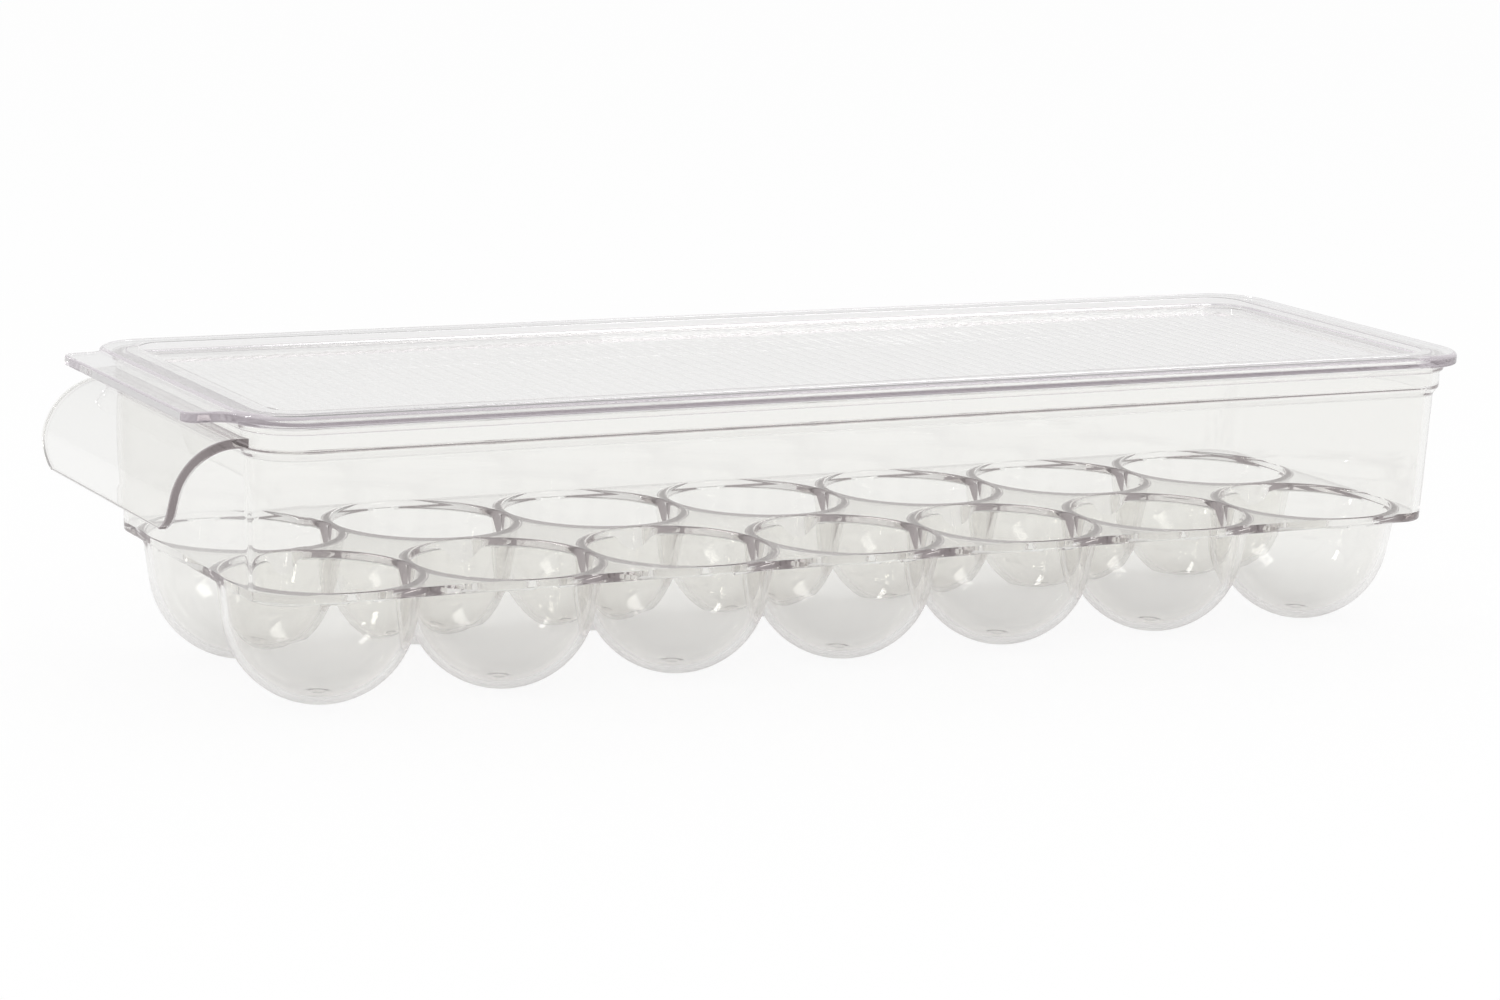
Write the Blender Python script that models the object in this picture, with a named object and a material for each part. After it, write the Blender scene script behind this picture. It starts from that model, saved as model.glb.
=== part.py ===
"""Egg holder tray: a clear two-piece fridge bin for fourteen eggs.

The object is two mouldings. The tray is one moulding: a thin-walled tub whose
floor carries two rows of round-bottomed egg cups, with a stepped rim at the top
and a curled pull handle at one end. The lid is the other: a flat ribbed panel
inside a raised border, which drops a little way into the tub's mouth and lifts
straight off. A flat tab on the lid lies over the handle.

Units are metres, +Z is up. The handle points to -X. The origin is the middle of
the whole object's footprint, at the height that the cups stand on.
"""

import math

import bmesh
import bpy

MM = 0.001

# ---------------------------------------------------------------- driving sizes

# Egg cups
CUP_COLUMNS = 7
CUP_ROWS = 2
COLUMN_PITCH = 47.5 * MM
ROW_PITCH = 48.0 * MM
CUP_MOUTH_RADIUS = 22.7 * MM        # inside, just below the mouth's edge
CUP_BOWL_RADIUS = 21.5 * MM         # inside, where the round bottom begins
CUP_SHOULDER_DEPTH = 8.7 * MM       # floor top to the bowl's centre
CUP_WALL = 1.8 * MM
CUP_MOUTH_FILLET = 0.7 * MM         # a crisp edge, only just rounded
CUP_FOOT_RADIUS = 4.2 * MM          # small flat that each cup stands on

# Tub
FLOOR_THICKNESS = 2.2 * MM
FLOOR_SIDE_MARGIN = 0.5 * MM        # floor edge outside the cups, long sides
FLOOR_END_MARGIN = 0.2 * MM         # floor edge outside the cups, short ends
TUB_DEPTH = 40.0 * MM               # floor top to rim top
TUB_WALL = 1.8 * MM
TUB_CORNER_RADIUS = 9.5 * MM
WALL_LEAN = 1.2 * MM                # how far a wall leans out over its height

# Rim
RIM_HEIGHT = 7.2 * MM               # from where the wall flares to the rim top
RIM_FLARE_HEIGHT = 1.4 * MM
RIM_STEP_OUT = 1.4 * MM
FLANGE_HEIGHT = 1.7 * MM
FLANGE_OUT = 0.9 * MM

# Handle
HANDLE_REACH = 18.3 * MM            # rim band's face to the handle's outer face
HANDLE_HALF_WIDTH = 42.7 * MM
HANDLE_THICKNESS = 2.2 * MM
HANDLE_BEND_RADIUS = 16.2 * MM      # outer face
HANDLE_DROP = 21.4 * MM             # top face down to the free edge
HANDLE_CORNER_RADIUS = 9.0 * MM
HANDLE_BELOW_RIM_TOP = 3.4 * MM     # rim top down to the handle's top face
HANDLE_ROOT = 1.0 * MM              # how far the handle runs into the rim

# Lid
LID_SEAT_GAP = 0.3 * MM             # rim top to the underside of the border
LID_OVERHANG = 2.6 * MM             # border beyond the rim flange
LID_CORNER_RADIUS = 14.0 * MM
LID_BORDER_THICKNESS = 3.1 * MM
LID_BORDER_WIDTH = 7.3 * MM         # long sides, at the panel
LID_END_BORDER_WIDTH = 9.5 * MM     # short ends, at the panel
LID_EDGE_ROUND = 1.2 * MM
LID_RECESS_DEPTH = 2.7 * MM         # border top down to the panel
LID_RECESS_SLOPE = 0.7 * MM
LID_RECESS_RADIUS = 8.0 * MM
LID_PANEL_THICKNESS = 1.8 * MM
LID_PLUG_CLEARANCE = 0.6 * MM       # panel plug to the rim's inner face
LID_TAB_REACH = 10.6 * MM
LID_TAB_HALF_WIDTH = 41.5 * MM
LID_TAB_CORNER_RADIUS = 3.5 * MM
LID_TAB_FILLET = 5.0 * MM

# Ribs across the lid's panel
RIB_PITCH = 4.5 * MM
RIB_WIDTH = 2.4 * MM
RIB_HEIGHT = 0.5 * MM
RIB_FIELD_MARGIN = 6.5 * MM         # panel edge to the ribbed field
RIB_SINK = 0.4 * MM                 # how deep a rib's root runs into the panel

# Facets
CUP_SEGMENTS = 20
BOWL_STEPS = 5
FILLET_STEPS = 2
CORNER_STEPS = 4
BEND_STEPS = 8

# ------------------------------------------------------------ sizes that follow

CUP_OUTER_MOUTH = CUP_MOUTH_RADIUS + CUP_WALL
CUP_OUTER_BOWL = CUP_BOWL_RADIUS + CUP_WALL
CUP_DEPTH = CUP_SHOULDER_DEPTH + math.sqrt(CUP_OUTER_BOWL**2 - CUP_FOOT_RADIUS**2)

FLOOR_TOP_Z = CUP_DEPTH
FLOOR_BOTTOM_Z = FLOOR_TOP_Z - FLOOR_THICKNESS
RIM_TOP_Z = FLOOR_TOP_Z + TUB_DEPTH
RIM_START_Z = RIM_TOP_Z - RIM_HEIGHT
RIM_BAND_Z = RIM_START_Z + RIM_FLARE_HEIGHT
FLANGE_Z = RIM_TOP_Z - FLANGE_HEIGHT

FLOOR_HALF_X = (CUP_COLUMNS - 1) / 2 * COLUMN_PITCH + CUP_OUTER_MOUTH + FLOOR_END_MARGIN
FLOOR_HALF_Y = (CUP_ROWS - 1) / 2 * ROW_PITCH + CUP_OUTER_MOUTH + FLOOR_SIDE_MARGIN
BAND_OUT = WALL_LEAN + RIM_STEP_OUT
RIM_OUT = BAND_OUT + FLANGE_OUT

HANDLE_OUTER_X = FLOOR_HALF_X + BAND_OUT + HANDLE_REACH
HANDLE_TOP_Z = RIM_TOP_Z - HANDLE_BELOW_RIM_TOP

LID_HALF_X = FLOOR_HALF_X + RIM_OUT + LID_OVERHANG
LID_HALF_Y = FLOOR_HALF_Y + RIM_OUT + LID_OVERHANG
LID_BOTTOM_Z = RIM_TOP_Z + LID_SEAT_GAP
LID_TOP_Z = LID_BOTTOM_Z + LID_BORDER_THICKNESS
PANEL_TOP_Z = LID_TOP_Z - LID_RECESS_DEPTH
PANEL_BOTTOM_Z = PANEL_TOP_Z - LID_PANEL_THICKNESS
PANEL_HALF_X = LID_HALF_X - LID_END_BORDER_WIDTH
PANEL_HALF_Y = LID_HALF_Y - LID_BORDER_WIDTH
PLUG_HALF_X = FLOOR_HALF_X + BAND_OUT - TUB_WALL - LID_PLUG_CLEARANCE
PLUG_HALF_Y = FLOOR_HALF_Y + BAND_OUT - TUB_WALL - LID_PLUG_CLEARANCE
PLUG_RADIUS = TUB_CORNER_RADIUS + BAND_OUT - TUB_WALL - LID_PLUG_CLEARANCE

# The cup grid is not centred on the footprint, because the handle and the tab
# reach further at one end than the lid does at the other.
REACH_LEFT = max(HANDLE_OUTER_X, LID_HALF_X + LID_TAB_REACH)
GRID_X = (REACH_LEFT - LID_HALF_X) / 2


# ------------------------------------------------------------------- mesh tools

def arc(cx, cy, radius, start_deg, end_deg, steps):
    """Points along an arc, both ends included."""
    points = []
    for i in range(steps + 1):
        a = math.radians(start_deg + (end_deg - start_deg) * i / steps)
        points.append((cx + radius * math.cos(a), cy + radius * math.sin(a)))
    return points


def rounded_rectangle(half_x, half_y, radius):
    """Outline of a rounded rectangle round the cup grid, counter-clockwise."""
    points = []
    for sx, sy, start in ((1, 1, 0), (-1, 1, 90), (-1, -1, 180), (1, -1, 270)):
        cx = GRID_X + sx * (half_x - radius)
        cy = sy * (half_y - radius)
        points += arc(cx, cy, radius, start, start + 90, CORNER_STEPS)
    return points


def new_object(name, bm):
    bmesh.ops.recalc_face_normals(bm, faces=bm.faces)
    mesh = bpy.data.meshes.new(name)
    bm.to_mesh(mesh)
    bm.free()
    obj = bpy.data.objects.new(name, mesh)
    bpy.context.scene.collection.objects.link(obj)
    return obj


def loft(name, levels):
    """Closed solid through outlines of equal point count at rising heights."""
    bm = bmesh.new()
    rings = []
    for points, z in levels:
        rings.append([bm.verts.new((x, y, z)) for x, y in points])
    bm.faces.new(reversed(rings[0]))
    bm.faces.new(rings[-1])
    count = len(rings[0])
    for low, high in zip(rings, rings[1:]):
        for i in range(count):
            j = (i + 1) % count
            bm.faces.new((low[i], low[j], high[j], high[i]))
    return new_object(name, bm)


def prism_along_y(name, profile, half_width):
    """Closed solid: an outline in X and Z, extruded both ways along Y."""
    bm = bmesh.new()
    near = [bm.verts.new((x, -half_width, z)) for x, z in profile]
    far = [bm.verts.new((x, half_width, z)) for x, z in profile]
    bm.faces.new(near)
    bm.faces.new(reversed(far))
    count = len(profile)
    for i in range(count):
        j = (i + 1) % count
        bm.faces.new((near[i], near[j], far[j], far[i]))
    return new_object(name, bm)


def prism_along_x(name, profile, low_x, high_x):
    """Closed solid: an outline in Y and Z, extruded along X."""
    bm = bmesh.new()
    low = [bm.verts.new((low_x, y, z)) for y, z in profile]
    high = [bm.verts.new((high_x, y, z)) for y, z in profile]
    bm.faces.new(low)
    bm.faces.new(reversed(high))
    count = len(profile)
    for i in range(count):
        j = (i + 1) % count
        bm.faces.new((low[i], low[j], high[j], high[i]))
    return new_object(name, bm)


def add_turned_body(bm, centre, profile):
    """Turn a top-to-bottom profile of (radius, z) into a closed body."""
    cx, cy = centre
    rings = []
    for radius, z in profile:
        if radius <= 0:
            rings.append([bm.verts.new((cx, cy, z))])
            continue
        ring = []
        for i in range(CUP_SEGMENTS):
            a = 2 * math.pi * i / CUP_SEGMENTS
            ring.append(bm.verts.new((cx + radius * math.cos(a), cy + radius * math.sin(a), z)))
        rings.append(ring)
    bm.faces.new(rings[0])
    if len(rings[-1]) > 1:
        bm.faces.new(reversed(rings[-1]))
    for high, low in zip(rings, rings[1:]):
        for i in range(CUP_SEGMENTS):
            j = (i + 1) % CUP_SEGMENTS
            if len(low) == 1:
                bm.faces.new((high[i], low[0], high[j]))
            else:
                bm.faces.new((high[i], low[i], low[j], high[j]))


def cup_centres(parity):
    """Centres of every other cup, like one colour of a chessboard.

    Neighbouring cups' walls overlap, so each half of the set holds no two that touch.
    """
    centres = []
    for row in range(CUP_ROWS):
        for column in range(CUP_COLUMNS):
            if (row + column) % 2 == parity:
                x = GRID_X + (column - (CUP_COLUMNS - 1) / 2) * COLUMN_PITCH
                y = (row - (CUP_ROWS - 1) / 2) * ROW_PITCH
                centres.append((x, y))
    return centres


def turned_set(name, parity, profile):
    bm = bmesh.new()
    for centre in cup_centres(parity):
        add_turned_body(bm, centre, profile)
    return new_object(name, bm)


def combine(target, tool, operation):
    """Boolean with the exact solver; the tool stays as a hidden wire guide."""
    modifier = target.modifiers.new(operation.lower() + "_" + tool.name, "BOOLEAN")
    modifier.operation = operation
    modifier.solver = "EXACT"
    modifier.object = tool
    tool.hide_render = True
    tool.display_type = "WIRE"


def clear_plastic(name, colour, roughness):
    material = bpy.data.materials.new(name)
    material.use_nodes = True
    shader = material.node_tree.nodes["Principled BSDF"]
    shader.inputs["Base Color"].default_value = (*colour, 1.0)
    shader.inputs["Roughness"].default_value = roughness
    shader.inputs["Metallic"].default_value = 0.0
    shader.inputs["Transmission Weight"].default_value = 1.0
    shader.inputs["IOR"].default_value = 1.57
    return material


# ------------------------------------------------------------------ cup profiles

def outer_cup_profile():
    """Outer skin from inside the floor down to the small flat foot."""
    z_bowl = FLOOR_TOP_Z - CUP_SHOULDER_DEPTH
    profile = [(CUP_OUTER_MOUTH, (FLOOR_TOP_Z + FLOOR_BOTTOM_Z) / 2)]
    foot_angle = math.degrees(math.acos(CUP_FOOT_RADIUS / CUP_OUTER_BOWL))
    for i in range(BOWL_STEPS + 1):
        a = math.radians(foot_angle * i / BOWL_STEPS)
        profile.append((CUP_OUTER_BOWL * math.cos(a), z_bowl - CUP_OUTER_BOWL * math.sin(a)))
    return profile


def inner_cup_profile():
    """Hollow of a cup: rounded mouth edge, slight taper, round bottom."""
    z_bowl = FLOOR_TOP_Z - CUP_SHOULDER_DEPTH
    flare = CUP_MOUTH_RADIUS + CUP_MOUTH_FILLET
    profile = [(flare, FLOOR_TOP_Z + CUP_MOUTH_FILLET)]
    for i in range(FILLET_STEPS + 1):
        a = math.pi / 2 * i / FILLET_STEPS
        radius = flare - CUP_MOUTH_FILLET * math.sin(a)
        z = FLOOR_TOP_Z - CUP_MOUTH_FILLET * (1 - math.cos(a))
        profile.append((radius, z))
    for i in range(BOWL_STEPS):
        a = math.pi / 2 * i / BOWL_STEPS
        profile.append((CUP_BOWL_RADIUS * math.cos(a), z_bowl - CUP_BOWL_RADIUS * math.sin(a)))
    profile.append((0.0, z_bowl - CUP_BOWL_RADIUS))
    return profile


# -------------------------------------------------------------------------- tray

def tub_level(out, z, inset=0.0):
    """Tub outline grown outwards by out, with a wall thickness taken off."""
    grow = out - inset
    points = rounded_rectangle(FLOOR_HALF_X + grow, FLOOR_HALF_Y + grow, TUB_CORNER_RADIUS + grow)
    return points, z


def wall_lean_at(z):
    """How far the wall has leaned out at height z."""
    return WALL_LEAN * (z - FLOOR_BOTTOM_Z) / (RIM_START_Z - FLOOR_BOTTOM_Z)


def make_tub():
    """Outer form of the tub, still solid, with its stepped rim."""
    return loft("tray", [
        tub_level(0.0, FLOOR_BOTTOM_Z),
        tub_level(WALL_LEAN, RIM_START_Z),
        tub_level(WALL_LEAN + RIM_STEP_OUT * 0.3, RIM_START_Z + RIM_FLARE_HEIGHT * 0.7),
        tub_level(BAND_OUT, RIM_BAND_Z),
        tub_level(BAND_OUT, FLANGE_Z),
        tub_level(RIM_OUT, FLANGE_Z),
        tub_level(RIM_OUT, RIM_TOP_Z),
    ])


def make_tub_hollow():
    """Everything inside the tub's walls, carried on down through the cups."""
    return loft("tub_hollow", [
        tub_level(wall_lean_at(0.0), 0.0, TUB_WALL),
        tub_level(WALL_LEAN, RIM_START_Z + TUB_WALL / 2, TUB_WALL),
        tub_level(BAND_OUT, RIM_BAND_Z + TUB_WALL / 2, TUB_WALL),
        tub_level(BAND_OUT, RIM_TOP_Z + LID_BORDER_THICKNESS, TUB_WALL),
    ])


def make_room():
    """Space above the floor; the cup hollows are added to it."""
    half_x = FLOOR_HALF_X + RIM_OUT + LID_OVERHANG
    half_y = FLOOR_HALF_Y + RIM_OUT + LID_OVERHANG
    outline = rounded_rectangle(half_x, half_y, TUB_CORNER_RADIUS)
    return loft("room", [(outline, FLOOR_TOP_Z), (outline, RIM_TOP_Z + 2 * LID_BORDER_THICKNESS)])


def make_handle():
    """Curled sheet: out of the rim, round a bend and down to a free edge."""
    outer_x = GRID_X - HANDLE_OUTER_X
    bend_x = outer_x + HANDLE_BEND_RADIUS
    bend_z = HANDLE_TOP_Z - HANDLE_BEND_RADIUS
    root_x = GRID_X - (FLOOR_HALF_X + BAND_OUT) + HANDLE_ROOT
    foot_z = HANDLE_TOP_Z - HANDLE_DROP
    inner_radius = HANDLE_BEND_RADIUS - HANDLE_THICKNESS
    profile = [(root_x, HANDLE_TOP_Z)]
    profile += arc(bend_x, bend_z, HANDLE_BEND_RADIUS, 90, 180, BEND_STEPS)
    profile.append((outer_x, foot_z))
    profile.append((outer_x + HANDLE_THICKNESS, foot_z))
    profile += arc(bend_x, bend_z, inner_radius, 180, 90, BEND_STEPS)
    profile.append((root_x, HANDLE_TOP_Z - HANDLE_THICKNESS))
    sheet = prism_along_y("handle_sheet", profile, HANDLE_HALF_WIDTH + HANDLE_CORNER_RADIUS)

    half = HANDLE_HALF_WIDTH
    r = HANDLE_CORNER_RADIUS
    top_z = HANDLE_TOP_Z + r
    front = [(half, top_z), (-half, top_z)]
    front += arc(-half + r, foot_z + r, r, 180, 270, CORNER_STEPS)
    front += arc(half - r, foot_z + r, r, 270, 360, CORNER_STEPS)
    trim = prism_along_x("handle_trim", front, outer_x - r, root_x + r)
    combine(sheet, trim, "INTERSECT")
    return sheet


def make_tray():
    tray = make_tub()
    for parity in (0, 1):
        skins = turned_set("cup_skins_%d" % parity, parity, outer_cup_profile())
        combine(tray, skins, "UNION")
    combine(tray, make_handle(), "UNION")

    room = make_room()
    for parity in (0, 1):
        hollows = turned_set("cup_hollows_%d" % parity, parity, inner_cup_profile())
        combine(room, hollows, "UNION")
    hollow = make_tub_hollow()
    combine(hollow, room, "INTERSECT")
    combine(tray, hollow, "DIFFERENCE")

    tray.data.materials.append(clear_plastic("clear_tray_plastic", (0.93, 0.92, 0.915), 0.04))
    return tray


# --------------------------------------------------------------------------- lid

def lid_outline(inset):
    """Lid outline with its tab, counter-clockwise, pulled in by inset.

    Each lid corner next to the tab runs round a quarter arc and then swings
    back through a fillet into the side of the tab.
    """
    radius = LID_CORNER_RADIUS - inset
    corner_x = LID_HALF_X - LID_CORNER_RADIUS
    corner_y = LID_HALF_Y - LID_CORNER_RADIUS
    fillet = LID_TAB_FILLET + inset
    fillet_y = LID_TAB_HALF_WIDTH + LID_TAB_FILLET
    reach = LID_CORNER_RADIUS + LID_TAB_FILLET
    fillet_x = corner_x + math.sqrt(reach**2 - (fillet_y - corner_y)**2)
    swing = math.degrees(math.atan2(fillet_y - corner_y, fillet_x - corner_x))
    tip = LID_TAB_CORNER_RADIUS - inset
    tip_x = LID_HALF_X + LID_TAB_REACH - LID_TAB_CORNER_RADIUS
    tip_y = LID_TAB_HALF_WIDTH - LID_TAB_CORNER_RADIUS

    far_half = arc(corner_x, corner_y, radius, 0, 90, CORNER_STEPS)
    far_half += arc(-corner_x, corner_y, radius, 90, 180 - swing, CORNER_STEPS)
    far_half += arc(-fillet_x, fillet_y, fillet, -swing, -90, CORNER_STEPS)
    far_half += arc(-tip_x, tip_y, tip, 90, 180, CORNER_STEPS)
    near_half = [(x, -y) for x, y in reversed(far_half)]
    return [(GRID_X + x, y) for x, y in far_half + near_half]


def make_ribs():
    """Straight ribs across the panel, with sloping sides."""
    half_x = PANEL_HALF_X - RIB_FIELD_MARGIN
    half_y = PANEL_HALF_Y - RIB_FIELD_MARGIN
    count = int(2 * half_x / RIB_PITCH)
    root_z = PANEL_TOP_Z - RIB_SINK
    crest_z = PANEL_TOP_Z + RIB_HEIGHT
    bm = bmesh.new()
    for i in range(count + 1):
        x = GRID_X + (i - count / 2) * RIB_PITCH
        foot = RIB_WIDTH / 2
        crest = RIB_WIDTH / 4
        section = [(x - foot, root_z), (x + foot, root_z), (x + crest, crest_z), (x - crest, crest_z)]
        near = [bm.verts.new((px, -half_y, pz)) for px, pz in section]
        far = [bm.verts.new((px, half_y, pz)) for px, pz in section]
        bm.faces.new(near)
        bm.faces.new(reversed(far))
        for k in range(4):
            m = (k + 1) % 4
            bm.faces.new((near[k], far[k], far[m], near[m]))
    return new_object("ribs", bm)


def make_lid():
    lid = loft("lid", [
        (lid_outline(0.0), LID_BOTTOM_Z),
        (lid_outline(0.0), LID_TOP_Z - LID_EDGE_ROUND),
        (lid_outline(LID_EDGE_ROUND * 0.3), LID_TOP_Z - LID_EDGE_ROUND * 0.3),
        (lid_outline(LID_EDGE_ROUND), LID_TOP_Z),
    ])
    plug_outline = rounded_rectangle(PLUG_HALF_X, PLUG_HALF_Y, PLUG_RADIUS)
    plug = loft("lid_plug", [
        (plug_outline, PANEL_BOTTOM_Z),
        (plug_outline, (LID_BOTTOM_Z + LID_TOP_Z) / 2),
    ])
    combine(lid, plug, "UNION")

    foot = rounded_rectangle(PANEL_HALF_X, PANEL_HALF_Y, LID_RECESS_RADIUS)
    above = LID_RECESS_DEPTH * 2
    grow = LID_RECESS_SLOPE * 2
    mouth = rounded_rectangle(PANEL_HALF_X + grow, PANEL_HALF_Y + grow, LID_RECESS_RADIUS + grow)
    recess = loft("lid_recess", [(foot, PANEL_TOP_Z), (mouth, PANEL_TOP_Z + above)])
    combine(lid, recess, "DIFFERENCE")
    combine(lid, make_ribs(), "UNION")

    lid.data.materials.append(clear_plastic("clear_lid_plastic", (0.94, 0.935, 0.935), 0.05))
    return lid


# -------------------------------------------------------------------------- main

def clear_scene():
    for obj in list(bpy.data.objects):
        bpy.data.objects.remove(obj, do_unlink=True)


def main():
    clear_scene()
    for obj in (make_tray(), make_lid()):
        obj.data.shade_smooth()
        obj.data.set_sharp_from_angle(angle=math.radians(30))


main()
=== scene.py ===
# %% [markdown]
# # A clear egg holder tray, built for rendering
#
# The object is a fridge bin for fourteen eggs. It is made of two mouldings in the
# same clear rigid plastic: a tray, whose floor is two rows of round-bottomed cups,
# and a lid that lifts straight off. This lesson builds both as smooth closed
# solids, because clear plastic shows every face, the hidden ones as well, and then
# gives them a material that bends light, mirrors a little of it and soaks up a
# little more where the plastic is thick.

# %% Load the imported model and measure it
import math

import bmesh
import bpy
from mathutils import Matrix, Vector


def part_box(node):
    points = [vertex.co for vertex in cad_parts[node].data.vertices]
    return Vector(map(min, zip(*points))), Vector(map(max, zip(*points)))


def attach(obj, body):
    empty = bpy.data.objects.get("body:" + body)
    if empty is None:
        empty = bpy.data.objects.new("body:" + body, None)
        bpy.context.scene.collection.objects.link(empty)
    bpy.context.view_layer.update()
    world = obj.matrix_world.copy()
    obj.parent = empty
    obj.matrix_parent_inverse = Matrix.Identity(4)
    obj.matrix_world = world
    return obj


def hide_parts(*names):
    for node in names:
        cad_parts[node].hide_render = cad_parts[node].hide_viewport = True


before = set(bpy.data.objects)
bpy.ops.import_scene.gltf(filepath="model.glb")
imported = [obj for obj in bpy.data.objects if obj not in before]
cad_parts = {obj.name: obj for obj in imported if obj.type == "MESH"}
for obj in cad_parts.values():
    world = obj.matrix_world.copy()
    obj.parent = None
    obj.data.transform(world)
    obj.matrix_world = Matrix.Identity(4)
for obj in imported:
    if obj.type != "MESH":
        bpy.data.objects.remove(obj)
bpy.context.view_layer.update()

MM = 0.001
tray_low, tray_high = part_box("tray")
lid_low, lid_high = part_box("lid")
for name, low, high in (("tray", tray_low, tray_high), ("lid", lid_low, lid_high)):
    print(name, "measures", [round((b - a) / MM, 1) for a, b in zip(low, high)], "mm")

# %% [markdown]
# ## Sizes
#
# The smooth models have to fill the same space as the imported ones, so the same
# sizes appear here once more. Heights are counted from the surface that the cups
# stand on. Only fine detail differs: the rim flares over a longer slope, and the
# lid's ribs are far lower, because in clear plastic both show much more than in a
# plain solid.

# %% Sizes of the cups and the tub
COLUMNS = 7
ROWS = 2
COLUMN_PITCH = 47.5 * MM
ROW_PITCH = 48.0 * MM
CUP_MOUTH_RADIUS = 22.7 * MM
CUP_BOWL_RADIUS = 21.5 * MM
CUP_SHOULDER_DEPTH = 8.7 * MM
CUP_WALL = 1.8 * MM
CUP_MOUTH_FILLET = 0.7 * MM
CUP_ROOT_FILLET = 0.8 * MM
CUP_FOOT_RADIUS = 4.2 * MM
CUP_OUTER_MOUTH = CUP_MOUTH_RADIUS + CUP_WALL
CUP_OUTER_BOWL = CUP_BOWL_RADIUS + CUP_WALL

FLOOR_THICKNESS = 2.2 * MM
FLOOR_END_MARGIN = 0.2 * MM
FLOOR_SIDE_MARGIN = 0.5 * MM
FLOOR_TOP = CUP_SHOULDER_DEPTH + math.sqrt(CUP_OUTER_BOWL**2 - CUP_FOOT_RADIUS**2)
FLOOR_BOTTOM = FLOOR_TOP - FLOOR_THICKNESS
BOWL_MIDDLE = FLOOR_TOP - CUP_SHOULDER_DEPTH
FLOOR_HALF_X = (COLUMNS - 1) / 2 * COLUMN_PITCH + CUP_OUTER_MOUTH + FLOOR_END_MARGIN
FLOOR_HALF_Y = (ROWS - 1) / 2 * ROW_PITCH + CUP_OUTER_MOUTH + FLOOR_SIDE_MARGIN
TUB_DEPTH = 40.0 * MM
TUB_CORNER_RADIUS = 9.5 * MM
TUB_WALL = 1.8 * MM
WALL_LEAN = 1.2 * MM

RIM_HEIGHT = 8.2 * MM
RIM_FLARE_HEIGHT = 2.1 * MM
RIM_STEP_OUT = 1.4 * MM
FLANGE_HEIGHT = 1.7 * MM
FLANGE_OUT = 0.9 * MM
RIM_TOP = FLOOR_TOP + TUB_DEPTH
RIM_START = RIM_TOP - RIM_HEIGHT
RIM_BAND = RIM_START + RIM_FLARE_HEIGHT
FLANGE_START = RIM_TOP - FLANGE_HEIGHT
BAND_OUT = WALL_LEAN + RIM_STEP_OUT
RIM_OUT = BAND_OUT + FLANGE_OUT
print("floor top at", round(FLOOR_TOP / MM, 2), "mm, rim top at", round(RIM_TOP / MM, 2), "mm")

# %% Sizes of the handle and the lid
HANDLE_REACH = 18.3 * MM
HANDLE_HALF_WIDTH = 42.7 * MM
HANDLE_THICKNESS = 2.2 * MM
HANDLE_BEND_RADIUS = 16.2 * MM
HANDLE_CORNER_RADIUS = 9.0 * MM
HANDLE_BELOW_RIM_TOP = 3.4 * MM
HANDLE_DROP = 21.4 * MM
HANDLE_OUTER = FLOOR_HALF_X + BAND_OUT + HANDLE_REACH
HANDLE_TOP = RIM_TOP - HANDLE_BELOW_RIM_TOP
HANDLE_FOOT = HANDLE_TOP - HANDLE_DROP

LID_OVERHANG = 2.6 * MM
LID_CORNER_RADIUS = 14.0 * MM
LID_SEAT_GAP = 0.3 * MM
LID_THICKNESS = 3.1 * MM
LID_HALF_X = FLOOR_HALF_X + RIM_OUT + LID_OVERHANG
LID_HALF_Y = FLOOR_HALF_Y + RIM_OUT + LID_OVERHANG
LID_BOTTOM = RIM_TOP + LID_SEAT_GAP
LID_TOP = LID_BOTTOM + LID_THICKNESS

RECESS_DEPTH = 2.7 * MM
PANEL_THICKNESS = 1.8 * MM
END_BORDER_WIDTH = 9.5 * MM
SIDE_BORDER_WIDTH = 7.3 * MM
PANEL_RADIUS = 8.0 * MM
PLUG_CLEARANCE = 0.6 * MM
PANEL_TOP = LID_TOP - RECESS_DEPTH
PANEL_BOTTOM = PANEL_TOP - PANEL_THICKNESS
PANEL_HALF_X = LID_HALF_X - END_BORDER_WIDTH
PANEL_HALF_Y = LID_HALF_Y - SIDE_BORDER_WIDTH
PLUG_GROW = BAND_OUT - TUB_WALL - PLUG_CLEARANCE
TAB_REACH = 10.6 * MM
TAB_HALF_WIDTH = 41.5 * MM

# The cups sit a little right of the middle, because the handle sticks out left.
GRID_X = (HANDLE_OUTER - LID_HALF_X) / 2
handle_gap = tray_low.x - (GRID_X - HANDLE_OUTER)
top_gap = lid_high.z - LID_TOP
print("cup grid middle at x =", round(GRID_X / MM, 2), "mm")
print("left to the model's box:", round(handle_gap / MM, 3), "mm at the handle,",
      round(top_gap / MM, 3), "mm at the lid's top")

# %% [markdown]
# ## The tray's two skins
#
# Cutting fourteen smooth cups out of a block with booleans would leave slivers
# that glitter in clear plastic. Seen from above, though, the tray is simple: each
# cup sits in the middle of its own rectangular cell, and within a cell the surface
# is the same whichever way one walks out from the middle. So each cell is a fan of
# rays. Every ray carries the same number of points: up the round bowl, up the
# wall, over the rounded mouth and out over the floor to the cell's edge.
#
# Inside, the mouths stay a little apart, so a narrow flat land is left between
# neighbouring cups, and only beside the tub's walls does a ray stop before it is
# quite over its mouth's edge. Outside, the cups are wider than their cells. There a
# ray stops early, at the cell's edge, and the two walls meet as the solid web that
# shows as a dark post between the cups.

# %% Rays round a cup
RAYS_PER_EIGHTH = 18


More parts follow.
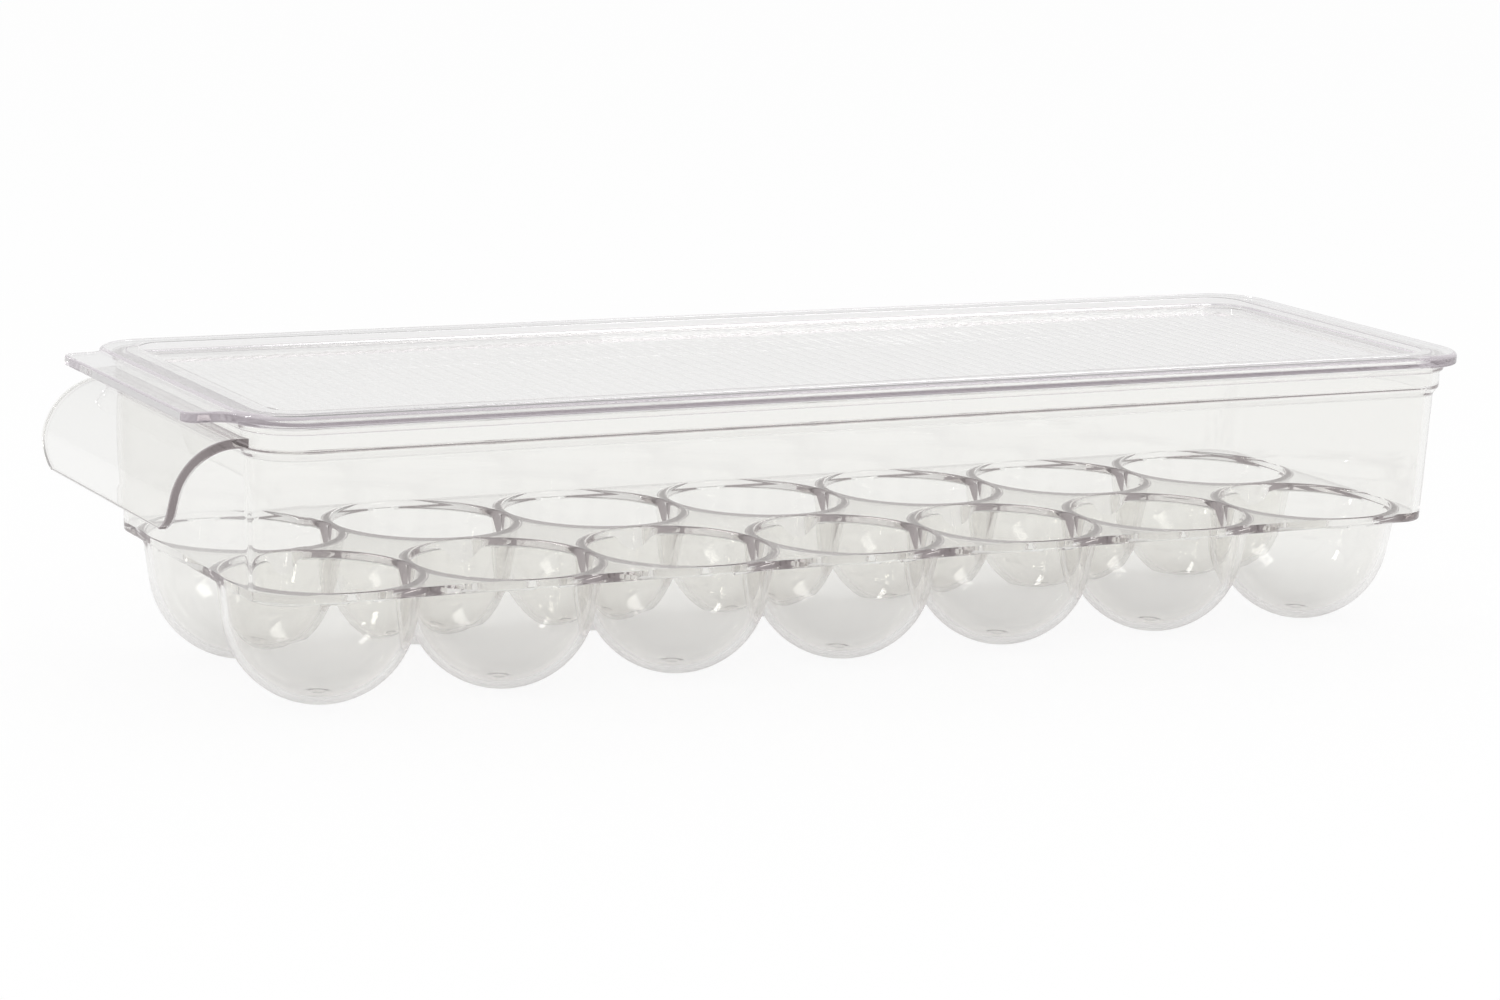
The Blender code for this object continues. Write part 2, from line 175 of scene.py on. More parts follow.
def cell_reach(column, row, half_x, half_y):
    """How far a cup's cell reaches left, right, near and far from its middle."""
    middle_x = (column - (COLUMNS - 1) / 2) * COLUMN_PITCH
    middle_y = (row - (ROWS - 1) / 2) * ROW_PITCH
    left = half_x + middle_x if column == 0 else COLUMN_PITCH / 2
    right = half_x - middle_x if column == COLUMNS - 1 else COLUMN_PITCH / 2
    near = half_y + middle_y if row == 0 else ROW_PITCH / 2
    far = half_y - middle_y if row == ROWS - 1 else ROW_PITCH / 2
    return left, right, near, far


def ray_angles(reach):
    """Directions of a cup's rays: some along the axes, some exactly at the cell's corners."""
    left, right, near, far = reach
    marks = [0, math.atan2(far, right), math.pi / 2, math.pi - math.atan2(far, left), math.pi,
             math.pi + math.atan2(near, left), math.pi * 1.5, math.tau - math.atan2(near, right), math.tau]
    angles = []
    for start, end in zip(marks, marks[1:]):
        angles += [start + (end - start) * i / RAYS_PER_EIGHTH for i in range(RAYS_PER_EIGHTH)]
    return angles


def ray_length(angle, column, row, reach, corner_radius):
    """Distance from a cup's middle to the edge of its cell, round the tub's corners too."""
    left, right, near, far = reach
    c, s = math.cos(angle), math.sin(angle)
    side_x = right if c > 0 else left
    side_y = far if s > 0 else near
    length = min(side_x / max(abs(c), 1e-9), side_y / max(abs(s), 1e-9))
    at_end = (column == 0 and c < 0) or (column == COLUMNS - 1 and c > 0)
    at_side = (row == 0 and s < 0) or (row == ROWS - 1 and s > 0)
    if at_end and at_side:
        core_x, core_y = side_x - corner_radius, side_y - corner_radius
        x, y = length * abs(c), length * abs(s)
        if x > core_x and y > core_y:
            along = abs(c) * core_x + abs(s) * core_y
            length = along + math.sqrt(along**2 - core_x**2 - core_y**2 + corner_radius**2)
    return length


print("each cup is a fan of", 8 * RAYS_PER_EIGHTH, "rays")

# %% The section of a cup, from the bottom outwards
BOWL_POINTS = 14
FILLET_POINTS = 8


def bowl_points(mouth_radius, mouth_z, bowl_radius, first_radius):
    """Round bowl, then the point where the straight wall leaves it as a tangent."""
    rise = mouth_z - BOWL_MIDDLE
    gap = math.hypot(mouth_radius, rise)
    last = math.atan2(rise, mouth_radius) - math.acos(bowl_radius / gap)
    first = -math.acos(first_radius / bowl_radius)
    points = []
    for i in range(BOWL_POINTS + 1):
        a = first + (last - first) * i / BOWL_POINTS
        points.append((bowl_radius * math.cos(a), BOWL_MIDDLE + bowl_radius * math.sin(a)))
    return points


# The gate is the small mark that moulding leaves at each cup's lowest point. Its
# section is given in shares of its radius and height.
GATE_RADIUS = 1.5 * MM
GATE_HEIGHT = 0.12 * MM
GATE_SECTION = ((0.6, 1.0), (1.0, 0.7), (1.2, 0.2))
BOWL_START = GATE_RADIUS * 1.5
INNER_BOWL = bowl_points(CUP_MOUTH_RADIUS, FLOOR_TOP - CUP_MOUTH_FILLET, CUP_BOWL_RADIUS, BOWL_START)
OUTER_BOWL = bowl_points(CUP_OUTER_MOUTH, FLOOR_BOTTOM - CUP_ROOT_FILLET, CUP_OUTER_BOWL, CUP_FOOT_RADIUS)


def fillet_points(ring, top, radius, sweep):
    """Points of the arc by which a cup's wall turns into the floor."""
    points = []
    for i in range(FILLET_POINTS + 1):
        a = sweep * i / FILLET_POINTS
        points.append((ring - radius * math.cos(a), top - radius * (1 - math.sin(a))))
    return points


def inner_ray(length):
    """Points up the inside of a cup, over its rounded mouth and out over the floor."""
    bottom = BOWL_MIDDLE - CUP_BOWL_RADIUS
    gate = [(GATE_RADIUS * out, bottom + GATE_HEIGHT * up) for out, up in GATE_SECTION]
    ring = CUP_MOUTH_RADIUS + CUP_MOUTH_FILLET
    last = min(length, ring)
    sweep = math.acos((ring - last) / CUP_MOUTH_FILLET)
    mouth = fillet_points(ring, FLOOR_TOP, CUP_MOUTH_FILLET, sweep)
    z = mouth[-1][1]
    return gate + INNER_BOWL + mouth + [((last + length) / 2, z), (length, z)]


def outer_ray(length):
    """Points from the flat foot up the outside of a cup and out under the floor."""
    foot = [(CUP_FOOT_RADIUS * 0.5, 0.0), (CUP_FOOT_RADIUS * 0.9, 0.0)]
    ring = CUP_OUTER_MOUTH + CUP_ROOT_FILLET
    last = min(length, ring)
    sweep = math.acos((ring - last) / CUP_ROOT_FILLET) if last > CUP_OUTER_MOUTH else 0.0
    root = fillet_points(ring, FLOOR_BOTTOM, CUP_ROOT_FILLET, sweep)
    if last <= CUP_OUTER_MOUTH:
        # The cell ends inside the cup's wall, so the ray stops on the wall itself.
        start_r, start_z = OUTER_BOWL[-1]
        share = (last - start_r) / (CUP_OUTER_MOUTH - start_r)
        z = start_z + (root[0][1] - start_z) * share
        root = [(last, z)] * (FILLET_POINTS + 1)
    z = root[-1][1]
    return foot + OUTER_BOWL + root + [((last + length) / 2, z), (length, z)]


print("points on an inner ray:", len(inner_ray(ROW_PITCH / 2)),
      "and on an outer ray:", len(outer_ray(ROW_PITCH / 2)))

# %% Put the fans together into a skin
def perimeter_rays(column, row):
    """Which rays of a cell end on the tub's wall, counter-clockwise round the tub."""
    n = RAYS_PER_EIGHTH
    first = {0: 5, ROWS - 1: 1}[row] * n
    last = {0: 7, ROWS - 1: 3}[row] * n
    if column == 0:
        first, last = (3 * n, 7 * n) if row == 0 else (n, 5 * n)
    if column == COLUMNS - 1:
        first, last = (5 * n, 9 * n) if row == 0 else (-n, 3 * n)
    return [k % (8 * n) for k in range(first, last)]


def add_skin(verts, faces, half_x, half_y, corner_radius, ray_points):
    """Add one skin's points and faces, and return the points where it meets the wall."""
    edge_points = {}
    for row in range(ROWS):
        for column in range(COLUMNS):
            reach = cell_reach(column, row, half_x, half_y)
            middle_x = GRID_X + (column - (COLUMNS - 1) / 2) * COLUMN_PITCH
            middle_y = (row - (ROWS - 1) / 2) * ROW_PITCH
            centre = len(verts)
            rays = []
            for angle in ray_angles(reach):
                c, s = math.cos(angle), math.sin(angle)
                points = ray_points(ray_length(angle, column, row, reach, corner_radius))
                if len(verts) == centre:
                    verts.append((middle_x, middle_y, points[0][1]))
                rays.append(range(len(verts), len(verts) + len(points)))
                verts += [(middle_x + r * c, middle_y + r * s, z) for r, z in points]
            for ray, following in zip(rays, rays[1:] + rays[:1]):
                faces.append((centre, ray[0], following[0]))
                faces += [(ray[j], ray[j + 1], following[j + 1], following[j]) for j in range(len(ray) - 1)]
            edge_points[column, row] = [rays[k][-1] for k in perimeter_rays(column, row)]
    order = [(column, 0) for column in range(1, COLUMNS)]
    order += [(column, ROWS - 1) for column in reversed(range(COLUMNS))] + [(0, 0)]
    return [index for cell in order for index in edge_points[cell]]


# The tub's lower edge is rounded, so the outer skin stops short of the wall.
FOOT_ROUND = 0.6 * MM
verts, faces = [], []
inner_edge = add_skin(verts, faces, FLOOR_HALF_X - TUB_WALL, FLOOR_HALF_Y - TUB_WALL,
                      TUB_CORNER_RADIUS - TUB_WALL, inner_ray)
outer_edge = add_skin(verts, faces, FLOOR_HALF_X - FOOT_ROUND, FLOOR_HALF_Y - FOOT_ROUND,
                      TUB_CORNER_RADIUS - FOOT_ROUND, outer_ray)
print("skins:", len(faces), "faces, and", len(inner_edge), "points round the wall")

# %% [markdown]
# ## The walls and the rim
#
# Each point round the skin's edge knows which way is outwards: straight out on the
# sides, and away from the corner's centre on the corners. A wall is then a list of
# levels, each with a height and a distance out from the floor's outline. Real
# mouldings have no knife edges, so every corner of the rim gets a small arc. Those
# arcs are what catch the light along the rim.

# %% Levels of the wall
EDGE_ROUND = 0.45 * MM


def quarter(out_0, z_0, out_1, z_1, first_along_z, steps=4):
    """Points of a quarter arc from one place on the section to another."""
    points = []
    for i in range(1, steps + 1):
        a = math.pi / 2 * i / steps
        u, v = 1 - math.cos(a), math.sin(a)
        if not first_along_z:
            u, v = v, u
        points.append((out_0 + (out_1 - out_0) * u, z_0 + (z_1 - z_0) * v))
    return points


STEP_ROUND = 0.3 * MM


def rounded_corner(before, corner, after, steps=3):
    """Points that round off a corner of the section, STEP_ROUND long each way."""
    before, corner, after = Vector(before), Vector(corner), Vector(after)
    points = []
    start = corner + (before - corner).normalized() * STEP_ROUND
    end = corner + (after - corner).normalized() * STEP_ROUND
    for i in range(steps + 1):
        t = i / steps
        p = start * (1 - t)**2 + corner * (2 * t * (1 - t)) + end * t**2
        points.append((p.x, p.y))
    return points


def rim_flare(out_0, z_0, out_1, z_1):
    """The straight slope where the wall flares into the rim, with rounded ends."""
    low, high = (out_0, z_0), (out_1, z_1)
    # The wall comes from below, leaning out a little, and goes on straight up.
    below = (out_0 - WALL_LEAN * 0.3, z_0 - RIM_START * 0.3)
    above = (out_1, z_1 + 1.0)
    return rounded_corner(below, low, high) + rounded_corner(low, high, above)


def lean(z):
    """How far the wall has leaned out at a height."""
    return WALL_LEAN * (z - FLOOR_BOTTOM) / (RIM_START - FLOOR_BOTTOM)


def wall_levels(start, out):
    """Three levels between a height and the rim's flare, on the leaning wall."""
    heights = [start + (RIM_START - start) * i / 4 for i in range(1, 4)]
    return [(lean(z) + out, z) for z in heights]


print("just below the rim the wall has leaned out", round(lean(RIM_START) / MM, 2), "mm")

# %% The outer levels
fillet = EDGE_ROUND / 2
outer_levels = quarter(-FOOT_ROUND, FLOOR_BOTTOM, 0.0, FLOOR_BOTTOM + FOOT_ROUND, False)
outer_levels += wall_levels(FLOOR_BOTTOM + FOOT_ROUND, 0.0)
outer_levels += rim_flare(WALL_LEAN, RIM_START, BAND_OUT, RIM_BAND)
handle_low_level = len(outer_levels)
outer_levels.append((BAND_OUT, HANDLE_TOP - HANDLE_THICKNESS))
outer_levels.append((BAND_OUT, HANDLE_TOP))
outer_levels.append((BAND_OUT, FLANGE_START - fillet))
outer_levels += quarter(BAND_OUT, FLANGE_START - fillet, BAND_OUT + fillet, FLANGE_START, True, 2)
outer_levels.append((RIM_OUT - EDGE_ROUND, FLANGE_START))
outer_levels += quarter(RIM_OUT - EDGE_ROUND, FLANGE_START, RIM_OUT, FLANGE_START + EDGE_ROUND, False)
outer_levels.append((RIM_OUT, RIM_TOP - EDGE_ROUND))
outer_levels += quarter(RIM_OUT, RIM_TOP - EDGE_ROUND, RIM_OUT - EDGE_ROUND, RIM_TOP, True)
print(len(outer_levels), "outer levels")

# %% The inner levels
# The flare is a little higher inside, which keeps the wall as thick on the slope.
inner_out = BAND_OUT - TUB_WALL
flare_lift = TUB_WALL / 3
inner_levels = wall_levels(FLOOR_TOP, -TUB_WALL)
inner_levels += rim_flare(WALL_LEAN - TUB_WALL, RIM_START + flare_lift, inner_out, RIM_BAND + flare_lift)
inner_levels.append((inner_out, RIM_TOP - EDGE_ROUND))
inner_levels += quarter(inner_out, RIM_TOP - EDGE_ROUND, inner_out + EDGE_ROUND, RIM_TOP, True)
print(len(inner_levels), "inner levels")

# %% Raise the walls
def outward(point, half_x, half_y, corner_radius):
    """The nearest point on the core of the outline, and the direction out from it."""
    core_x, core_y = half_x - corner_radius, half_y - corner_radius
    x, y = point[0] - GRID_X, point[1]
    core = Vector((max(-core_x, min(core_x, x)), max(-core_y, min(core_y, y))))
    return core, (Vector((x, y)) - core).normalized()


def add_wall(verts, faces, edge, levels, skip=()):
    """Raise rings over the skin's edge. Returns the rings of point numbers."""
    plan = [outward(verts[i], FLOOR_HALF_X, FLOOR_HALF_Y, TUB_CORNER_RADIUS) for i in edge]
    rings = [list(edge)]
    for out, z in levels:
        rings.append(list(range(len(verts), len(verts) + len(edge))))
        for core, direction in plan:
            p = core + direction * (TUB_CORNER_RADIUS + out)
            verts.append((GRID_X + p.x, p.y, z))
    for level, (low, high) in enumerate(zip(rings, rings[1:])):
        for k in range(len(edge)):
            if (level, k) not in skip:
                m = (k + 1) % len(edge)
                faces.append((low[k], low[m], high[m], high[k]))
    return rings


def root_columns(verts, edge, half_width):
    """Which two points on the left-hand edge lie nearest to the handle's two sides."""
    at_left = [k for k in range(len(edge)) if verts[edge[k]][0] < GRID_X - FLOOR_HALF_X * 0.9]
    return [min(at_left, key=lambda k: abs(verts[edge[k]][1] - y)) for y in (half_width, -half_width)]


root_far, root_near = root_columns(verts, outer_edge, HANDLE_HALF_WIDTH)
root_skip = {(handle_low_level + 1, k) for k in range(root_far, root_near)}
outer_rings = add_wall(verts, faces, outer_edge, outer_levels, root_skip)
inner_rings = add_wall(verts, faces, inner_edge, inner_levels)
outer_top, inner_top = outer_rings[-1], inner_rings[-1]
for k in range(len(outer_edge)):
    m = (k + 1) % len(outer_edge)
    faces.append((outer_top[k], outer_top[m], inner_top[m], inner_top[k]))
root_half = (verts[outer_edge[root_far]][1] - verts[outer_edge[root_near]][1]) / 2
print("handle root half width:", round(root_half / MM, 2), "mm")

# %% [markdown]
# ## The pull handle
#
# The handle is one sheet that leaves the rim level, bends through a quarter turn
# and hangs straight down, with round lower corners. It is swept: a slim loop, the
# sheet's own section, is carried along the bend from station to station. The first
# loop is the ring of wall points that was left open above, so the handle and the
# wall are one skin and no hidden face shows inside the clear plastic.

# %% Stations along the bend
SHEET_ROUND = 0.5 * MM
ROUND_STEPS = 3
BEND_STATIONS = 14
BEND_DEGREES = 75
bend_radius = HANDLE_BEND_RADIUS - HANDLE_THICKNESS / 2
bend_x = GRID_X - HANDLE_OUTER + HANDLE_BEND_RADIUS
bend_z = HANDLE_TOP - HANDLE_BEND_RADIUS
corner_start = HANDLE_FOOT + HANDLE_CORNER_RADIUS


def sheet_width(z):
    """Half width of the handle at a height: narrower in its rounded lower corners."""
    h = z - HANDLE_FOOT
    if h >= HANDLE_CORNER_RADIUS:
        return HANDLE_HALF_WIDTH
    drop = HANDLE_CORNER_RADIUS - max(h, 0.0)
    return HANDLE_HALF_WIDTH - HANDLE_CORNER_RADIUS + math.sqrt(max(HANDLE_CORNER_RADIUS**2 - drop**2, 0.0))


def sheet_place(z):
    """Middle of the sheet and its outward direction at a height on the way down."""
    if z >= bend_z:
        a = math.asin(min((z - bend_z) / bend_radius, 1.0))
        return (bend_x - bend_radius * math.cos(a), z), (-math.cos(a), math.sin(a))
    return (bend_x - bend_radius, z), (-1.0, 0.0)


# First round the bend, then down through the rounded corners, and last over the
# rounded lower edge, where the loops shrink.
stations = []
for i in range(BEND_STATIONS + 1):
    a = math.radians(90 - BEND_DEGREES * i / BEND_STATIONS)
    place = (bend_x - bend_radius * math.cos(a), bend_z + bend_radius * math.sin(a))
    if place[1] > corner_start:
        stations.append((place, (-math.cos(a), math.sin(a)), HANDLE_HALF_WIDTH, 0.0))
for i in range(1, BEND_STATIONS + 1):
    z = corner_start - (HANDLE_CORNER_RADIUS - SHEET_ROUND) * math.sin(math.pi / 2 * i / BEND_STATIONS)
    place, direction = sheet_place(z)
    stations.append((place, direction, sheet_width(z), 0.0))
for i in range(1, ROUND_STEPS + 1):
    a = math.pi / 2 * i / ROUND_STEPS
    z = HANDLE_FOOT + SHEET_ROUND * (1 - math.sin(a))
    place, direction = sheet_place(z)
    shrink = SHEET_ROUND * (1 - math.cos(a))
    stations.append((place, direction, sheet_width(HANDLE_FOOT + SHEET_ROUND) - shrink, shrink))
print(len(stations), "stations along the handle")

# %% Sweep the sheet
top_row = outer_rings[handle_low_level + 2][root_far:root_near + 1]
low_row = outer_rings[handle_low_level + 1][root_far:root_near + 1]
width_share = [verts[i][1] / root_half for i in top_row]


def station_loop(place, direction, half_width, shrink):
    """One closed loop of the sheet's section: outer row, near edge, inner row, far edge."""
    half = HANDLE_THICKNESS / 2 - shrink
    edge = min(SHEET_ROUND, half * 0.95)
    row = [share * (half_width - edge) for share in width_share]
    turns = [math.pi / 2 * i / ROUND_STEPS for i in range(1, ROUND_STEPS + 1)]
    side = [(half_width - edge * (1 - math.sin(a)), half - edge * (1 - math.cos(a))) for a in turns]
    side += [(half_width - edge * (1 - math.cos(a)), -half + edge * (1 - math.sin(a))) for a in turns[:-1]]
    section = [(y, half) for y in row] + [(-y, out) for y, out in side]
    section += [(y, -half) for y in reversed(row)] + [(y, -out) for y, out in side]
    return [(place[0] + direction[0] * out, y, place[1] + direction[1] * out) for y, out in section]


def first_loop():
    """The same loop on the wall, where the rounded edges shrink to the root's corners."""
    edge_points = 2 * ROUND_STEPS - 1
    half_edge = ROUND_STEPS - 1
    loop = list(top_row)
    loop += [top_row[-1]] * half_edge + [low_row[-1]] * (edge_points - half_edge)
    loop += list(reversed(low_row))
    loop += [low_row[0]] * half_edge + [top_row[0]] * (edge_points - half_edge)
    return loop


def add_band(faces, loop, following):
    """Join two loops with faces, leaving out the points that fall together."""
    for k in range(len(loop)):
        m = (k + 1) % len(loop)
        corners = []
        for i in (loop[k], loop[m], following[m], following[k]):
            if i not in corners:
                corners.append(i)
        if len(corners) > 2:
            faces.append(tuple(corners))


loop = first_loop()
for station in stations:
    points = station_loop(*station)
    following = list(range(len(verts), len(verts) + len(points)))
    verts += points
    add_band(faces, loop, following)
    loop = following
faces.append(tuple(loop))
print("the sheet's section has", len(loop), "points")

# %% Close the tray into one solid
WELD = 0.002 * MM
SLIVER = 0.001 * MM


def solid_from(name, verts, faces):
    """Weld the points that meet, turn every face outwards and check that the skin is closed."""
    mesh = bpy.data.meshes.new(name)
    mesh.from_pydata(verts, [], faces)
    bm = bmesh.new()
    bm.from_mesh(mesh)
    bmesh.ops.remove_doubles(bm, verts=bm.verts, dist=WELD)
    bmesh.ops.dissolve_degenerate(bm, edges=bm.edges, dist=SLIVER)
    bmesh.ops.recalc_face_normals(bm, faces=bm.faces)
    open_edges = sum(1 for e in bm.edges if len(e.link_faces) != 2)
    volume = bm.calc_volume(signed=True)
    if volume < 0:
        bmesh.ops.reverse_faces(bm, faces=bm.faces)
    bm.to_mesh(mesh)
    bm.free()
    obj = bpy.data.objects.new(name, mesh)
    bpy.context.scene.collection.objects.link(obj)
    print(name, "has", len(mesh.polygons), "faces,", open_edges, "open edges and",
          round(abs(volume) * 1e6, 1), "cm3 of plastic")
    return obj


SHARP_DEGREES = 32


def smooth(obj):
    """Shade the curved faces smooth, keep the real creases sharp and the flat faces flat."""
    obj.data.shade_smooth()
    obj.data.set_sharp_from_angle(angle=math.radians(SHARP_DEGREES))
    # Each point's normal leans towards its largest faces. Without this a thin rounded
    # edge would bend the light all across the wide flat face beside it.
    weights = obj.modifiers.new("flat_faces", "WEIGHTED_NORMAL")
    weights.mode = "FACE_AREA"
    weights.keep_sharp = True
    weighted = bpy.data.meshes.new_from_object(obj.evaluated_get(bpy.context.evaluated_depsgraph_get()))
    obj.modifiers.clear()
    old = obj.data
    weighted.name = "weighted_" + obj.name
    obj.data = weighted
    bpy.data.meshes.remove(old)


tray = solid_from("clear_tray", verts, faces)
smooth(tray)

# %% [markdown]
# ## The lid
#
# The lid is a stack of rounded rectangles, like the wall: up the plug that drops
# into the rim, out under the border, up and over its rounded edge, then down into
# the recess. The recess holds a panel with fine straight ribs across it. They are
# only a fiftieth of a millimetre high, but clear plastic shows even those, because
# each rib bends the light a little.

# %% Rounded rectangles and the lid's border
CORNER_POINTS = 20


def rounded_rectangle(half_x, half_y, radius):
    """Points round a rectangle with rounded corners, counter-clockwise."""
    points = []
    for sx, sy, start in ((1, 1, 0), (-1, 1, 90), (-1, -1, 180), (1, -1, 270)):
        for i in range(CORNER_POINTS + 1):
            a = math.radians(start + 90 * i / CORNER_POINTS)
            points.append((GRID_X + sx * (half_x - radius) + radius * math.cos(a),
                           sy * (half_y - radius) + radius * math.sin(a)))
    return points


def around(half_x, half_y, radius, section):
    """Rings that follow one rounded rectangle at the distances and heights of a section."""
    return [(rounded_rectangle(half_x + out, half_y + out, radius + out), z) for out, z in section]


BORDER_ROUND = 1.2 * MM
RECESS_SLOPE = 0.15 * MM
RECESS_ROUND = 0.35 * MM
plug_half_x = FLOOR_HALF_X + PLUG_GROW
plug_half_y = FLOOR_HALF_Y + PLUG_GROW
plug_radius = TUB_CORNER_RADIUS + PLUG_GROW
plug = [(-EDGE_ROUND, PANEL_BOTTOM)]
plug += quarter(-EDGE_ROUND, PANEL_BOTTOM, 0, PANEL_BOTTOM + EDGE_ROUND, False)
plug += [(0, LID_BOTTOM)]
border = [(-EDGE_ROUND, LID_BOTTOM)]
border += quarter(-EDGE_ROUND, LID_BOTTOM, 0, LID_BOTTOM + EDGE_ROUND, False)
border += [(0, LID_TOP - BORDER_ROUND)]
border += quarter(0, LID_TOP - BORDER_ROUND, -BORDER_ROUND, LID_TOP, True, 6)
recess = [(RECESS_SLOPE + RECESS_ROUND, LID_TOP)]
recess += quarter(RECESS_SLOPE + RECESS_ROUND, LID_TOP, RECESS_SLOPE, LID_TOP - RECESS_ROUND, False)
recess += [(0, PANEL_TOP + RECESS_ROUND)]
recess += quarter(0, PANEL_TOP + RECESS_ROUND, -RECESS_ROUND, PANEL_TOP, True)
lid_rings = around(plug_half_x, plug_half_y, plug_radius, plug)
lid_rings += around(LID_HALF_X, LID_HALF_Y, LID_CORNER_RADIUS, border)
lid_rings += around(PANEL_HALF_X, PANEL_HALF_Y, PANEL_RADIUS, recess)
print("the lid has", len(lid_rings), "rings of", len(lid_rings[0][0]), "points")

# %% The ribbed field
RIB_PITCH = 4.5 * MM
RIB_WIDTH = 2.6 * MM
RIB_HEIGHT = 0.02 * MM
FIELD_MARGIN = 6.5 * MM
field_half_x = PANEL_HALF_X - FIELD_MARGIN
field_half_y = PANEL_HALF_Y - FIELD_MARGIN
rib_count = int(2 * field_half_x / RIB_PITCH) + 1
# Across a rib the places are shares of its half width, and the crest is a squared
# cosine. Along it they are millimetres from its end, where it rises gently.
ACROSS_RIB = (-1.0, -0.75, -0.5, -0.25, 0.0, 0.25, 0.5, 0.75, 1.0)
ALONG_RIB = (0.0, 0.5, 1.2, 2.0, 3.0)

field_x = []
for i in range(rib_count):
    middle = (i - (rib_count - 1) / 2) * RIB_PITCH
    field_x += [(middle + t * RIB_WIDTH / 2, math.cos(t * math.pi / 2)**2) for t in ACROSS_RIB]
field_y = []
for distance in ALONG_RIB:
    t = distance / ALONG_RIB[-1]
    field_y.append((distance * MM - field_half_y, t * t * (3 - 2 * t)))
field_y += [(-field_half_y * 0.5, 1.0), (0.0, 1.0)]
field_y += [(-y, share) for y, share in reversed(field_y[:-1])]
print(rib_count, "ribs, drawn with", len(field_x) * len(field_y), "points")

# %% Build the lid's solid
def build_lid_mesh():
    """The rings, the bottom, the ribbed field, and the flat panel that fills the rest."""
    bm = bmesh.new()
    rings = [[bm.verts.new((x, y, z)) for x, y in points] for points, z in lid_rings]
    count = len(rings[0])
    bm.faces.new(reversed(rings[0]))
    for low, high in zip(rings, rings[1:]):
        for k in range(count):
            m = (k + 1) % count
            bm.faces.new((low[k], low[m], high[m], high[k]))
    grid = [[bm.verts.new((GRID_X + x, y, PANEL_TOP + RIB_HEIGHT * crest * end)) for y, end in field_y]
            for x, crest in field_x]
    for i in range(len(grid) - 1):
        for j in range(len(field_y) - 1):
            bm.faces.new((grid[i][j], grid[i + 1][j], grid[i + 1][j + 1], grid[i][j + 1]))
    edges = [e for e in bm.edges if len(e.link_faces) == 1]
    bmesh.ops.triangle_fill(bm, edges=edges, use_beauty=True)
    bm.verts.index_update()
    verts = [tuple(v.co) for v in bm.verts]
    faces = [tuple(v.index for v in f.verts) for f in bm.faces]
    bm.free()
    return verts, faces


lid = solid_from("clear_lid", *build_lid_mesh())

# %% [markdown]
# ## The tab
#
# Over the handle the lid has a flat tab, a little lower than the border's crest.
# Beside it the lid's corner swings back through a small concave curve. The tab is
# a plate of that outline, merged with the border by one boolean union, which is
# safe here because both solids are simple where they meet.

# %% The tab's outline and plate
TAB_STEP = 0.5 * MM
TAB_OVERLAP = 5.0 * MM
TAB_TOP = LID_TOP - TAB_STEP
TAB_FILLET = 5.0 * MM
TAB_CORNER = 3.5 * MM
TAB_ROUND = 0.6 * MM
TAB_POINTS = 12


def arc(cx, cy, radius, start, end, steps):
    """Points along an arc, both ends included."""
    points = []
    for i in range(steps + 1):
        a = math.radians(start + (end - start) * i / steps)
        points.append((cx + radius * math.cos(a), cy + radius * math.sin(a)))
    return points


def tab_outline(inset):
    """The left end of the lid's outline with the tab, closed inside the border."""
    corner_x = LID_HALF_X - LID_CORNER_RADIUS
    corner_y = LID_HALF_Y - LID_CORNER_RADIUS
    fillet_y = TAB_HALF_WIDTH + TAB_FILLET
    reach = LID_CORNER_RADIUS + TAB_FILLET
    fillet_x = corner_x + math.sqrt(reach**2 - (fillet_y - corner_y)**2)
    swing = math.degrees(math.atan2(fillet_y - corner_y, fillet_x - corner_x))
    tip_x = LID_HALF_X + TAB_REACH - TAB_CORNER
    tip_y = TAB_HALF_WIDTH - TAB_CORNER
    half = [(-(LID_HALF_X - TAB_OVERLAP), corner_y)]
    half += arc(-fillet_x, fillet_y, TAB_FILLET + inset, -swing, -90, TAB_POINTS)
    half += arc(-tip_x, tip_y, TAB_CORNER - inset, 90, 180, TAB_POINTS)
    return [(GRID_X + x, y) for x, y in half + [(x, -y) for x, y in reversed(half)]]


def loft_solid(name, levels):
    """A closed solid through outlines with equal numbers of points."""
    count = len(levels[0][0])
    verts = [(x, y, z) for points, z in levels for x, y in points]
    faces = [tuple(reversed(range(count))), tuple(range(len(verts) - count, len(verts)))]
    for i in range(len(levels) - 1):
        low = i * count
        for k in range(count):
            m = (k + 1) % count
            faces.append((low + k, low + m, low + count + m, low + count + k))
    return solid_from(name, verts, faces)


tab_section = [(TAB_ROUND, LID_BOTTOM)]
tab_section += quarter(TAB_ROUND, LID_BOTTOM, 0.0, LID_BOTTOM + TAB_ROUND, False)
tab_section += [(0.0, TAB_TOP - TAB_ROUND)]
tab_section += quarter(0.0, TAB_TOP - TAB_ROUND, TAB_ROUND, TAB_TOP, True)
tab = loft_solid("lid_tab", [(tab_outline(inset), z) for inset, z in tab_section])

# %% Merge the tab into the lid
union = lid.modifiers.new("tab", "BOOLEAN")
union.operation = "UNION"
union.solver = "EXACT"
union.object = tab
merged = bpy.data.meshes.new_from_object(lid.evaluated_get(bpy.context.evaluated_depsgraph_get()))
lid.modifiers.clear()
lid.data = merged
bpy.data.objects.remove(tab)
smooth(lid)
print("lid after the union:", len(lid.data.polygons), "faces")

